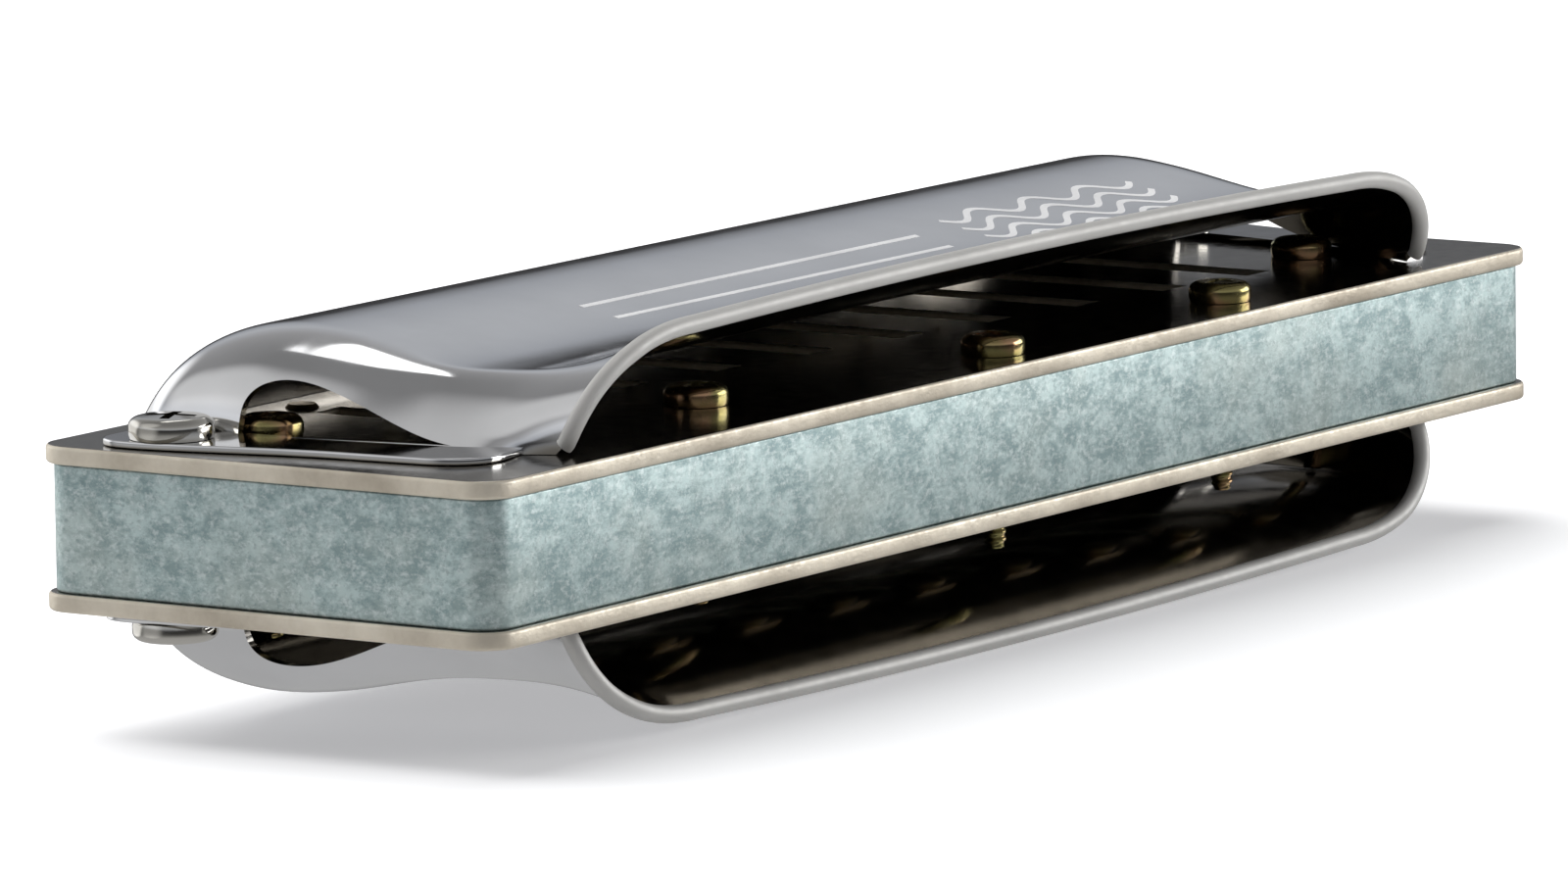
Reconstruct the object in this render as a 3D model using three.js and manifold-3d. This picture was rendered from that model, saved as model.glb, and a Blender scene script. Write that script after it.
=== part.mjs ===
// Ten-hole diatonic harmonica, in millimetres.
// +X runs along the body towards hole 10, -Y is the mouthpiece side, +Z is the blow-plate side.
// The origin is the middle of the comb.
import * as THREE from 'three';
import { mergeVertices } from 'three/addons/utils/BufferGeometryUtils.js';
import Module from 'manifold-3d';

// ---------- driving dimensions ----------
const combLength = 101.3;
const combWidth = 27.8;
const combHeight = 6.6;
const combCorner = 1.8;

const plateLength = 102;
const plateWidth = 28.5;
const plateThickness = 0.95;
const plateCorner = 2.0;
const plateTop = combHeight / 2 + plateThickness;

const holeCount = 10;
const holePitch = 7.5;
const chamberWidth = 5.3;

const slotWidth = 2.1;
const slotFrontEnd = -8.0;
const longestSlot = 14.5;
const slotStep = 0.83;
const chamberTail = 3.4;

const reedThickness = 0.2;
const reedGap = 0.1;
const reedSideClearance = 0.1;
const reedPadLength = 2.8;
const reedPadWidth = 3.2;
const rivetSetback = 1.7;
const rivetShankRadius = 0.55;
const rivetHeadRadius = 1.1;
const rivetHeadHeight = 0.5;
const rivetTailRadius = 0.9;
const rivetTailHeight = 0.2;
const rivetHoleClearance = 0.1;
const reedHoleClearance = 0.15;
const rivetSides = 8;
const reedPadCorner = 0.5;
const seat = 0.03;

const plateScrewPlaces = [[42.6, -5.3], [23.3, 7.7], [0.2, 11], [-23.1, 10.7], [-40.8, 5.1]];
const plateScrewHeadRadius = 1.7;
const plateScrewHeadHeight = 1.15;
const plateScrewShankRadius = 0.62;
const plateScrewTip = 1.85;
const plateScrewRecess = { reach: 0.95, slot: 0.4, depth: 0.7 };
const plateScrewSides = 14;

const coverScrewX = 47.8;
const coverScrewY = -7.7;
const coverScrewHeadRadius = 2.2;
const coverScrewHeadHeight = 1.2;
const coverScrewShankRadius = 1.05;
const coverScrewTip = 0.7;
const coverScrewRecess = { reach: 1.3, slot: 0.55, depth: 0.8 };
const coverScrewSides = 18;
const headRoundShare = 0.45;
const headCrown = 0.8;
const screwHoleClearance = 0.1;
const screwHoleSides = 20;
const screwHoleReach = 4;
const coverNutHeight = 1.1;
const coverNutBore = 0.85;

const coverSheet = 0.45;
const flangeThickness = 0.35;
const flangeOverlap = 0.2;
const coverFront = -12.6;
const coverRear = 13.5;
const frontRoundness = 0.64;
const ridge = { y: -6.4, z: 9.5 };
const valley = { y: 5.5, z: 7.9 };
const lipHeight = 10.5;
const lipArch = 0.0004;
const lipFootSetback = 2;
const lipBeadRadius = 0.5;
const coverFoot = plateTop + seat;
const ventFront = -5.5;
const ventRear = 6.4;
const ventInnerX = 40.5;
const ventReach = 12;

const flatTopSteps = 6;
const endSteps = 8;
const sectionSteps = 17;
const lipBeadSteps = 44;
const lipBeadSides = 6;
const roundSteps = 3;
const smallestEdge = 0.01;

// ---------- materials ----------
function metal(name, color, roughness) {
  return new THREE.MeshStandardMaterial({ name, color, roughness, metalness: 1 });
}

const chrome = metal('chrome', 0xc9ccd0, 0.12);
const nickel = metal('nickel', 0xb9b4a6, 0.35);
const zinc = metal('yellow_zinc', 0xa99a5c, 0.3);
const reedBronze = metal('reed_bronze', 0xb58f5c, 0.35);
const rivetBrass = metal('rivet_brass', 0xb79b5f, 0.4);
const combMaterial = new THREE.MeshStandardMaterial({
  name: 'comb_resin', color: 0x8fa9ab, roughness: 0.45, metalness: 0.2,
});

// ---------- boolean helpers ----------
const manifold = await Module();
manifold.setup();

function toSolid(geometry) {
  const bare = geometry.clone();
  bare.deleteAttribute('normal');
  bare.deleteAttribute('uv');
  const merged = mergeVertices(bare, 1e-4);
  return new manifold.Manifold(new manifold.Mesh({
    numProp: 3,
    vertProperties: new Float32Array(merged.attributes.position.array),
    triVerts: new Uint32Array(merged.index.array),
  }));
}

function toGeometry(solid) {
  const mesh = solid.getMesh();
  const geometry = new THREE.BufferGeometry();
  geometry.setAttribute('position', new THREE.BufferAttribute(mesh.vertProperties, 3));
  geometry.setIndex(new THREE.BufferAttribute(mesh.triVerts, 1));
  const facets = geometry.toNonIndexed();
  facets.computeVertexNormals();
  return facets;
}

function placed(geometry, x, y, z) {
  return geometry.clone().translate(x, y, z);
}

// ---------- layout of holes, slots and reeds ----------
// Hole 1 is at the -X end; the reeds get shorter towards hole 10.
function holeX(hole) {
  return (hole - (holeCount + 1) / 2) * holePitch;
}

function slotLength(hole) {
  return longestSlot - slotStep * (hole - 1);
}

function slotRearEnd(hole) {
  return slotFrontEnd + slotLength(hole);
}

// Blow reeds are riveted at the front, draw reeds at the rear.
function rivetY(hole, isBlow) {
  return isBlow ? slotFrontEnd - rivetSetback : slotRearEnd(hole) + rivetSetback;
}

const holes = Array.from({ length: holeCount }, (_, index) => index + 1);

// ---------- shared outlines ----------
// Outlines are closed point lists that don't repeat their first point.
function arcPoints(x, y, radius, startTurn, turn, steps) {
  return Array.from({ length: steps + 1 }, (_, step) => {
    const angle = 2 * Math.PI * (startTurn + (turn * step) / steps);
    return new THREE.Vector2(x + radius * Math.cos(angle), y + radius * Math.sin(angle));
  });
}

function circlePath(x, y, radius, sides = 12) {
  return new THREE.Path(arcPoints(x, y, radius, 0, 1, sides).slice(0, sides));
}

// Rounded corners from the front right one, counter-clockwise to the front left one.
function cornerPoints(length, width, corner) {
  const x = length / 2 - corner;
  const y = width / 2 - corner;
  return [[x, -y, 0.75], [x, y, 0], [-x, y, 0.25], [-x, -y, 0.5]]
    .flatMap(([cx, cy, turn]) => arcPoints(cx, cy, corner, turn, 0.25, 5));
}

function addScrewHoles(shape) {
  const plateHole = plateScrewShankRadius + screwHoleClearance;
  const coverHole = coverScrewShankRadius + screwHoleClearance;
  for (const [x, y] of plateScrewPlaces) {
    shape.holes.push(circlePath(x, y, plateHole));
  }
  for (const side of [-1, 1]) {
    shape.holes.push(circlePath(side * coverScrewX, coverScrewY, coverHole));
  }
}

function slab(shape, depth) {
  return new THREE.ExtrudeGeometry(shape, { depth, bevelEnabled: false });
}

// ---------- comb ----------
// The chambers are open to the mouthpiece side and to both reed plates.
function combShape() {
  const front = -combWidth / 2;
  const points = cornerPoints(combLength, combWidth, combCorner);
  for (const hole of holes) {
    const left = holeX(hole) - chamberWidth / 2;
    const right = holeX(hole) + chamberWidth / 2;
    const back = slotRearEnd(hole) + chamberTail;
    for (const [x, y] of [[left, front], [left, back], [right, back], [right, front]]) {
      points.push(new THREE.Vector2(x, y));
    }
  }
  const shape = new THREE.Shape(points);
  addScrewHoles(shape);
  return shape;
}

function makeComb() {
  const mesh = new THREE.Mesh(slab(combShape(), combHeight), combMaterial);
  mesh.name = 'comb';
  mesh.position.z = -combHeight / 2;
  return mesh;
}

// ---------- reed plates ----------
function slotGeometry(hole) {
  const x = holeX(hole);
  const reach = 1;
  const outline = new THREE.Shape([
    [x - slotWidth / 2, slotFrontEnd], [x + slotWidth / 2, slotFrontEnd],
    [x + slotWidth / 2, slotRearEnd(hole)], [x - slotWidth / 2, slotRearEnd(hole)],
  ].map(([px, py]) => new THREE.Vector2(px, py)));
  return placed(slab(outline, plateThickness + 2 * reach), 0, 0, -reach);
}

function makeReedPlate(name, isBlow) {
  const shape = new THREE.Shape(cornerPoints(plateLength, plateWidth, plateCorner));
  const rivetHole = rivetShankRadius + rivetHoleClearance;
  for (const hole of holes) {
    shape.holes.push(circlePath(holeX(hole), rivetY(hole, isBlow), rivetHole, rivetSides));
  }
  addScrewHoles(shape);
  let solid = toSolid(slab(shape, plateThickness));
  for (const hole of holes) {
    solid = solid.subtract(toSolid(slotGeometry(hole)));
  }
  const mesh = new THREE.Mesh(toGeometry(solid), nickel);
  mesh.name = name;
  mesh.position.z = isBlow ? combHeight / 2 : -plateTop;
  return mesh;
}

// ---------- reeds and rivets ----------
// The reed is drawn from its rivet along +Y: a wide pad, then a tongue that fits its slot.
function reedShape(hole) {
  const pad = reedPadWidth / 2;
  const halfPad = reedPadLength / 2;
  const tongue = slotWidth / 2 - reedSideClearance;
  const tip = rivetSetback + slotLength(hole) - reedSideClearance;
  const shape = new THREE.Shape([
    [-pad, -halfPad], [pad, -halfPad], [pad, halfPad - reedPadCorner], [tongue, halfPad],
    [tongue, tip], [-tongue, tip], [-tongue, halfPad], [-pad, halfPad - reedPadCorner],
  ].map(([x, y]) => new THREE.Vector2(x, y)));
  shape.holes.push(circlePath(0, 0, rivetShankRadius + reedHoleClearance, rivetSides));
  return shape;
}

function makeReed(hole, isBlow) {
  const mesh = new THREE.Mesh(slab(reedShape(hole), reedThickness), reedBronze);
  mesh.name = `${isBlow ? 'blow' : 'draw'}_reed_${String(hole).padStart(2, '0')}`;
  const platesInner = combHeight / 2;
  const top = isBlow ? platesInner - reedGap : -plateTop - reedGap;
  mesh.position.set(holeX(hole), rivetY(hole, isBlow), top - reedThickness);
  if (!isBlow) {
    mesh.rotation.z = Math.PI;
  }
  return mesh;
}

// The rivet's head is below the reed pad and its tail closes over the plate's other face.
function makeRivet(hole, isBlow) {
  const headTop = -reedGap - reedThickness - reedGap;
  const headBottom = headTop - rivetHeadHeight;
  const tailBottom = plateThickness + seat;
  const tailTop = tailBottom + rivetTailHeight;
  const profile = [
    [0, headBottom], [rivetHeadRadius * 0.8, headBottom], [rivetHeadRadius, headTop],
    [rivetShankRadius, headTop], [rivetShankRadius, tailBottom],
    [rivetTailRadius, tailBottom], [rivetTailRadius * 0.8, tailTop], [0, tailTop],
  ].map(([r, z]) => new THREE.Vector2(r, z));
  const geometry = new THREE.LatheGeometry(profile, rivetSides).rotateX(Math.PI / 2);
  const mesh = new THREE.Mesh(geometry, rivetBrass);
  mesh.name = `${isBlow ? 'blow' : 'draw'}_rivet_${String(hole).padStart(2, '0')}`;
  mesh.position.set(holeX(hole), rivetY(hole, isBlow), isBlow ? combHeight / 2 : -plateTop);
  return mesh;
}

// ---------- screws ----------
function panHeadProfile(headRadius, headHeight, shankRadius, shankLength) {
  const edge = headHeight * headRoundShare;
  const profile = [[0, -shankLength], [shankRadius * 0.7, -shankLength]];
  profile.push([shankRadius, -shankLength + shankRadius * 0.5], [shankRadius, 0], [headRadius, 0]);
  for (let step = 0; step <= roundSteps; step += 1) {
    const angle = (step / roundSteps) * (Math.PI / 2);
    profile.push([
      headRadius - edge + edge * Math.cos(angle),
      headHeight - edge + edge * Math.sin(angle) * headCrown,
    ]);
  }
  profile.push([0, headHeight]);
  return profile.map(([r, z]) => new THREE.Vector2(r, z));
}

function crossRecess({ reach, slot, depth }, top) {
  const h = slot / 2;
  const cross = new THREE.Shape([
    [reach, -h], [reach, h], [h, h], [h, reach], [-h, reach], [-h, h],
    [-reach, h], [-reach, -h], [-h, -h], [-h, -reach], [h, -reach], [h, -h],
  ].map(([x, y]) => new THREE.Vector2(x, y)));
  return placed(slab(cross, depth + 1), 0, 0, top - depth);
}

function makeScrew(name, size, material) {
  const profile = panHeadProfile(size.headRadius, size.headHeight, size.shankRadius, size.length);
  const body = new THREE.LatheGeometry(profile, size.sides).rotateX(Math.PI / 2);
  const recess = crossRecess(size.recess, size.headHeight);
  const solid = toSolid(body).subtract(toSolid(recess));
  const mesh = new THREE.Mesh(toGeometry(solid), material);
  mesh.name = name;
  return mesh;
}

const plateScrewSize = {
  headRadius: plateScrewHeadRadius, headHeight: plateScrewHeadHeight,
  shankRadius: plateScrewShankRadius, length: 2 * plateTop + seat + plateScrewTip,
  recess: plateScrewRecess, sides: plateScrewSides,
};

const coverScrewSize = {
  headRadius: coverScrewHeadRadius, headHeight: coverScrewHeadHeight,
  shankRadius: coverScrewShankRadius, length: 2 * (coverFoot + flangeThickness + seat) + coverScrewTip,
  recess: coverScrewRecess, sides: coverScrewSides,
};

function makePlateScrew(index) {
  const [x, y] = plateScrewPlaces[index];
  const mesh = makeScrew(`plate_screw_${index + 1}`, plateScrewSize, zinc);
  mesh.position.set(x, y, plateTop + seat);
  return mesh;
}

function coverScrewSeat() {
  return coverFoot + flangeThickness + seat;
}

function makeCoverScrew(name, side) {
  const mesh = makeScrew(name, coverScrewSize, chrome);
  mesh.position.set(side * coverScrewX, coverScrewY, coverScrewSeat());
  return mesh;
}

// A domed nut with a blind bore that takes the cover screw's tip.
function makeCoverNut(name, side) {
  const bore = coverScrewShankRadius + screwHoleClearance;
  const edge = coverNutHeight * headRoundShare;
  const profile = [
    [0, -coverNutBore], [bore, -coverNutBore], [bore, 0], [coverScrewHeadRadius, 0],
  ];
  for (let step = 0; step <= roundSteps; step += 1) {
    const angle = (step / roundSteps) * (Math.PI / 2);
    profile.push([
      coverScrewHeadRadius - edge + edge * Math.cos(angle),
      -coverNutHeight + edge - edge * Math.sin(angle) * headCrown,
    ]);
  }
  profile.push([0, -coverNutHeight]);
  const points = profile.reverse().map(([r, z]) => new THREE.Vector2(r, z));
  const geometry = new THREE.LatheGeometry(points, coverScrewSides).rotateX(Math.PI / 2);
  const mesh = new THREE.Mesh(geometry, chrome);
  mesh.name = name;
  mesh.position.set(side * coverScrewX, coverScrewY, -coverScrewSeat());
  return mesh;
}

// ---------- covers ----------
// Section across the middle: a quarter round from the front foot to the ridge, a dip to the
// valley, and a rise to the rear lip. Points are [y, z] in the top cover's place.
function sectionPoints(count) {
  const path = new THREE.Path();
  path.moveTo(coverFront, coverFoot);
  path.bezierCurveTo(
    coverFront, coverFoot + frontRoundness * (ridge.z - coverFoot),
    ridge.y - frontRoundness * (ridge.y - coverFront), ridge.z, ridge.y, ridge.z,
  );
  path.bezierCurveTo(ridge.y + 4.5, ridge.z, valley.y - 4.5, valley.z, valley.y, valley.z);
  path.bezierCurveTo(valley.y + 4, valley.z, coverRear - 1.6, lipHeight - 1.3, coverRear, lipHeight);
  return path.getSpacedPoints(count);
}

// Values of the end wall along Y: where the wall meets the plate, where the top starts to turn
// down, how square the turn is, and how far the wall leans in for each millimetre it rises.
const endStations = [
  { y: coverFront, foot: 44, shoulder: 37.5, squareness: 2.2, lean: 0.05 },
  { y: -10.8, foot: 45.1, shoulder: 38, squareness: 2.4, lean: 0.1 },
  { y: -8, foot: 45.2, shoulder: 38, squareness: 2.4, lean: 0.12 },
  { y: -5.6, foot: 45.2, shoulder: 38, squareness: 2.4, lean: 0.15 },
  { y: -3.4, foot: 45.1, shoulder: 38, squareness: 2.4, lean: 0.25 },
  { y: 0, foot: 44.7, shoulder: 38, squareness: 3, lean: 0.5 },
  { y: 4, foot: 44.1, shoulder: 38.6, squareness: 4, lean: 0.95 },
  { y: 8, foot: 43.4, shoulder: 37.5, squareness: 4, lean: 0.9 },
  { y: 11, foot: 42.4, shoulder: 35, squareness: 3, lean: 0.4 },
  { y: coverRear, foot: 41.5, shoulder: 32, squareness: 2.3, lean: 0 },
];

function endValue(y, key) {
  let index = 0;
  while (index < endStations.length - 2 && y > endStations[index + 1].y) {
    index += 1;
  }
  const a = endStations[index];
  const b = endStations[index + 1];
  const t = THREE.MathUtils.clamp((y - a.y) / (b.y - a.y), 0, 1);
  const before = endStations[Math.max(index - 1, 0)];
  const after = endStations[Math.min(index + 2, endStations.length - 1)];
  const slopeA = ((b[key] - before[key]) / (b.y - before.y)) * (b.y - a.y);
  const slopeB = ((after[key] - a[key]) / (after.y - a.y)) * (b.y - a.y);
  const t2 = t * t;
  const t3 = t2 * t;
  return (2 * t3 - 3 * t2 + 1) * a[key] + (t3 - 2 * t2 + t) * slopeA
    + (3 * t2 - 2 * t3) * b[key] + (t3 - t2) * slopeB;
}

// A point of the outer surface. along runs from -1 (foot at -X) to 1 (foot at +X), and |along|
// below 0.5 is the long top.
function coverPoint(along, sectionPoint) {
  const { x: y, y: z } = sectionPoint;
  const side = Math.sign(along);
  const reach = Math.abs(along);
  const shoulder = endValue(y, 'shoulder');
  const foot = endValue(y, 'foot');
  const power = 2 / endValue(y, 'squareness');
  const lipShare = THREE.MathUtils.smoothstep(y, valley.y, coverRear);
  if (reach <= 0.5) {
    const x = shoulder * reach * 2;
    return new THREE.Vector3(side * x, y, z - lipShare * lipArch * x * x);
  }
  const angle = (reach - 0.5) * Math.PI;
  const shoulderHeight = z - lipShare * lipArch * shoulder * shoulder;
  const drop = Math.cos(angle) ** power;
  const height = coverFoot + (shoulderHeight - coverFoot) * drop;
  const lean = endValue(y, 'lean');
  const upright = shoulder + lean * (shoulderHeight - coverFoot);
  const x = upright + (foot - upright) * Math.sin(angle) ** power - lean * (height - coverFoot);
  const setback = lipShare * lipFootSetback * (1 - Math.min(1, drop * 1.15) ** 0.65);
  return new THREE.Vector3(side * x, y - setback, height);
}

function coverStations() {
  const stations = [];
  for (let step = 0; step < endSteps; step += 1) {
    stations.push(-1 + (0.5 * step) / endSteps);
  }
  for (let step = 0; step <= flatTopSteps; step += 1) {
    stations.push(-0.5 + step / flatTopSteps);
  }
  for (let step = 1; step <= endSteps; step += 1) {
    stations.push(0.5 + (0.5 * step) / endSteps);
  }
  return stations;
}

// The outer grid and an inner grid one sheet thickness below it, closed along the four edges.
function coverSheetGeometry() {
  const stations = coverStations();
  const section = sectionPoints(sectionSteps);
  const outer = stations.map((along) => section.map((point) => coverPoint(along, point)));
  const columns = stations.length - 1;
  const rows = section.length - 1;
  const inner = outer.map((column, i) => column.map((point, j) => {
    const alongX = new THREE.Vector3().subVectors(
      outer[Math.min(i + 1, columns)][j], outer[Math.max(i - 1, 0)][j]);
    const alongY = new THREE.Vector3().subVectors(
      column[Math.min(j + 1, rows)], column[Math.max(j - 1, 0)]);
    const normal = new THREE.Vector3().crossVectors(alongX, alongY).normalize();
    const moved = point.clone().addScaledVector(normal, -coverSheet);
    moved.z = Math.max(moved.z, coverFoot);
    return moved;
  }));
  const positions = [...outer.flat(), ...inner.flat()].flatMap((p) => [p.x, p.y, p.z]);
  const layer = outer.length * (rows + 1);
  const at = (i, j, isInner) => i * (rows + 1) + j + (isInner ? layer : 0);
  const triangles = [];
  const quad = (a, b, c, d) => triangles.push(a, b, c, a, c, d);
  for (let i = 0; i < columns; i += 1) {
    for (let j = 0; j < rows; j += 1) {
      quad(at(i, j), at(i + 1, j), at(i + 1, j + 1), at(i, j + 1));
      quad(at(i, j, true), at(i, j + 1, true), at(i + 1, j + 1, true), at(i + 1, j, true));
    }
    quad(at(i, 0), at(i, 0, true), at(i + 1, 0, true), at(i + 1, 0));
    quad(at(i, rows), at(i + 1, rows), at(i + 1, rows, true), at(i, rows, true));
  }
  for (let j = 0; j < rows; j += 1) {
    quad(at(0, j), at(0, j + 1), at(0, j + 1, true), at(0, j, true));
    quad(at(columns, j), at(columns, j, true), at(columns, j + 1, true), at(columns, j + 1));
  }
  const geometry = new THREE.BufferGeometry();
  geometry.setAttribute('position', new THREE.Float32BufferAttribute(positions, 3));
  geometry.setIndex(triangles);
  return geometry;
}

// The rolled bead along the rear lip, from one foot over the top to the other.
function lipBeadGeometry() {
  const edge = new THREE.Vector2(coverRear, lipHeight);
  const reachEnd = 0.985;
  const points = coverStations()
    .map((along) => THREE.MathUtils.clamp(along, -reachEnd, reachEnd))
    .map((along) => coverPoint(along, edge))
    .map((point) => point.setZ(Math.max(point.z - coverSheet / 2, coverFoot + lipBeadRadius)));
  const path = new THREE.CatmullRomCurve3(points);
  const section = new THREE.Shape(arcPoints(0, 0, lipBeadRadius, 0, 1, lipBeadSides).slice(0, lipBeadSides));
  return new THREE.ExtrudeGeometry(section, { steps: lipBeadSteps, extrudePath: path, bevelEnabled: false });
}

// The flat tab at the +X end that lies on the reed plate and takes the cover screw.
function flangeGeometry() {
  const outline = new THREE.Path();
  outline.moveTo(44, -11.2);
  outline.lineTo(48.2, -11.2);
  outline.quadraticCurveTo(50, -11.2, 50, -9.2);
  outline.bezierCurveTo(50, -6, 48.1, -1, 47.9, 3);
  outline.lineTo(47.5, 7.6);
  outline.quadraticCurveTo(47.1, 10.5, 44.4, 10.4);
  const wallSide = [11.6, 9.5, 7.5, 5.5, 4, 2, 0, -2, -3.4, -5, -7, -9, -10.6]
    .map((y) => coverPoint(1, new THREE.Vector2(y, ridge.z)))
    .map((foot) => new THREE.Vector2(foot.x - flangeOverlap, foot.y));
  const shape = new THREE.Shape([...outline.getPoints(6), ...wallSide]);
  return placed(slab(shape, flangeThickness), 0, 0, coverFoot);
}

// The wave-shaped side opening, as a prism along X that reaches through the +X end wall.
function ventGeometry() {
  const sill = coverFoot + flangeThickness;
  const outline = new THREE.Path();
  outline.moveTo(ventRear, sill);
  outline.bezierCurveTo(3.2, 5, 1.4, 6.2, -0.8, 6.85);
  outline.bezierCurveTo(-2.8, 7.5, -5.5, 7.8, ventFront, 5.6);
  outline.lineTo(ventFront, sill);
  const prism = slab(new THREE.Shape(outline.getPoints(8)), ventReach);
  return placed(prism.rotateX(Math.PI / 2).rotateZ(Math.PI / 2), ventInnerX, 0, 0);
}

function screwHoleGeometry() {
  const radius = coverScrewShankRadius + screwHoleClearance;
  const cylinder = new THREE.CylinderGeometry(radius, radius, screwHoleReach, screwHoleSides);
  return placed(cylinder.rotateX(Math.PI / 2), coverScrewX, coverScrewY, coverFoot);
}

function coverSolid() {
  let solid = toSolid(coverSheetGeometry()).add(toSolid(lipBeadGeometry()));
  const tab = toSolid(flangeGeometry());
  const cuts = toSolid(ventGeometry()).add(toSolid(screwHoleGeometry()));
  for (const mirrorNormal of [null, [1, 0, 0]]) {
    solid = solid.add(mirrorNormal ? tab.mirror(mirrorNormal) : tab);
    solid = solid.subtract(mirrorNormal ? cuts.mirror(mirrorNormal) : cuts);
  }
  return solid.simplify(smallestEdge);
}

const coverGeometry = toGeometry(coverSolid());

function makeTopCover() {
  const mesh = new THREE.Mesh(coverGeometry, chrome);
  mesh.name = 'top_cover';
  return mesh;
}

// The bottom cover is the same pressing, turned over about the Y axis.
function makeBottomCover() {
  const mesh = new THREE.Mesh(coverGeometry, chrome);
  mesh.name = 'bottom_cover';
  mesh.rotation.y = Math.PI;
  return mesh;
}

// ---------- assembly ----------
const harmonica = new THREE.Group();
harmonica.add(makeComb());
harmonica.add(makeReedPlate('blow_reed_plate', true));
harmonica.add(makeReedPlate('draw_reed_plate', false));
for (const isBlow of [true, false]) {
  for (const hole of holes) {
    harmonica.add(makeReed(hole, isBlow));
    harmonica.add(makeRivet(hole, isBlow));
  }
}
plateScrewPlaces.forEach((_, index) => harmonica.add(makePlateScrew(index)));
harmonica.add(makeTopCover());
harmonica.add(makeBottomCover());
for (const [end, side] of [['low', -1], ['high', 1]]) {
  harmonica.add(makeCoverScrew(`cover_screw_${end}_end`, side));
  harmonica.add(makeCoverNut(`cover_nut_${end}_end`, side));
}

export default harmonica;
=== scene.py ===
# Ten-hole diatonic harmonica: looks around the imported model.
import math

import bmesh
import bpy
from mathutils import Matrix, Vector


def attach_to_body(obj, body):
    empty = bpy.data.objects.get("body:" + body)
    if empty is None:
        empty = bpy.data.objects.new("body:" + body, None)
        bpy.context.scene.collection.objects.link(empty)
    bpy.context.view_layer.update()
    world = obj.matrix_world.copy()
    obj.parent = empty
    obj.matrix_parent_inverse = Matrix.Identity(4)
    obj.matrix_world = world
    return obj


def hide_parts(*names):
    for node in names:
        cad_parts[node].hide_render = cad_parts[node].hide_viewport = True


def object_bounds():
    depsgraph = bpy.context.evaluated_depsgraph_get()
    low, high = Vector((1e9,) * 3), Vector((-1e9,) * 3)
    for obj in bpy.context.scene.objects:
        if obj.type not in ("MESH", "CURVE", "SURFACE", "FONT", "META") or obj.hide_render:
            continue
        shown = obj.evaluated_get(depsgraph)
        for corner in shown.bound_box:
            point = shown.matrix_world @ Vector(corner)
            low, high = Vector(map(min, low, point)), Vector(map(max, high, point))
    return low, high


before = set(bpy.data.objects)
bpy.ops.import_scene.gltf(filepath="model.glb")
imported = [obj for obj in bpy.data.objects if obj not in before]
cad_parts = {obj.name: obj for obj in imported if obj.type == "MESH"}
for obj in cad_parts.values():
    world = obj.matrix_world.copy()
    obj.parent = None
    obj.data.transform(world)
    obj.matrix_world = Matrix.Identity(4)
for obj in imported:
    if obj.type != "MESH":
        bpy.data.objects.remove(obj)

cad_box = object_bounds()
scene = bpy.context.scene

# ---------- dimensions, in millimetres, in the frame of the model ----------
MM = 0.001
BODY = "harmonica"

COMB_LENGTH = 101.3
COMB_WIDTH = 27.8
COMB_HEIGHT = 6.6
COMB_CORNER = 1.8
COMB_EDGE = 0.16
PLATE_LENGTH = 102.0
PLATE_WIDTH = 28.5
PLATE_THICKNESS = 0.95
PLATE_CORNER = 2.0
PLATE_EDGE = 0.2
PLATE_TOP = COMB_HEIGHT / 2 + PLATE_THICKNESS

HOLES = range(1, 11)
HOLE_PITCH = 7.5
MIDDLE_OF_HOLES = 5.5
CHAMBER_WIDTH = 5.3
SLOT_WIDTH = 2.1
SLOT_FRONT_END = -8.0
LONGEST_SLOT = 14.5
SLOT_STEP = 0.83
CHAMBER_TAIL = 3.4
RIVET_SETBACK = 1.7
RIVET_HEAD_RADIUS = 1.1
RIVET_HEAD_HEIGHT = 0.5
RIVET_HEAD_EDGE = 0.2
RIVET_TAIL_RADIUS = 0.9
RIVET_TAIL_HEIGHT = 0.2
RIVET_SHANK_RADIUS = 0.55
REED_STACK = 0.4
SEAT = 0.03

PLATE_SCREW_PLACES = [(42.6, -5.3), (23.3, 7.7), (0.2, 11), (-23.1, 10.7), (-40.8, 5.1)]
PLATE_SCREW = {"head": 1.7, "height": 1.15, "shank": 0.62, "tip": 1.85, "pitch": 0.4, "recess": 0.95}
COVER_SCREW_X = 47.8
COVER_SCREW_Y = -7.7
COVER_SCREW = {"head": 2.2, "height": 1.2, "shank": 1.05, "pitch": 0.5, "recess": 1.3}
COVER_NUT_HEIGHT = 1.1
THREAD_DEPTH = 0.12
HEAD_OVERLAP = 0.02
CROSS_WIDTH_SHARE = 0.4
CROSS_DEPTH = 0.6

COVER_SHEET = 0.45
FLANGE_THICKNESS = 0.35
COVER_FRONT = -12.6
COVER_REAR = 13.5
COVER_FOOT = PLATE_TOP + SEAT
FRONT_ROUNDNESS = 0.64
RIDGE_Y = -6.4
RIDGE_Z = 9.5
VALLEY_Y = 5.5
VALLEY_Z = 7.9
RIDGE_HANDLE = 4.5
VALLEY_HANDLE = 4.0
LIP_HANDLE = (1.6, 1.3)
LIP_HEIGHT = 10.5
LIP_ARCH = 0.0004
LIP_FOOT_SETBACK = 2.0
LIP_BEAD_RADIUS = 0.465
VENT_FRONT = -5.5
VENT_REAR = 6.4
VENT_CUT_NEAR = 40.5
VENT_CUT_FAR = 52.5

FLOOR_RADIUS = 0.6


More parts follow.
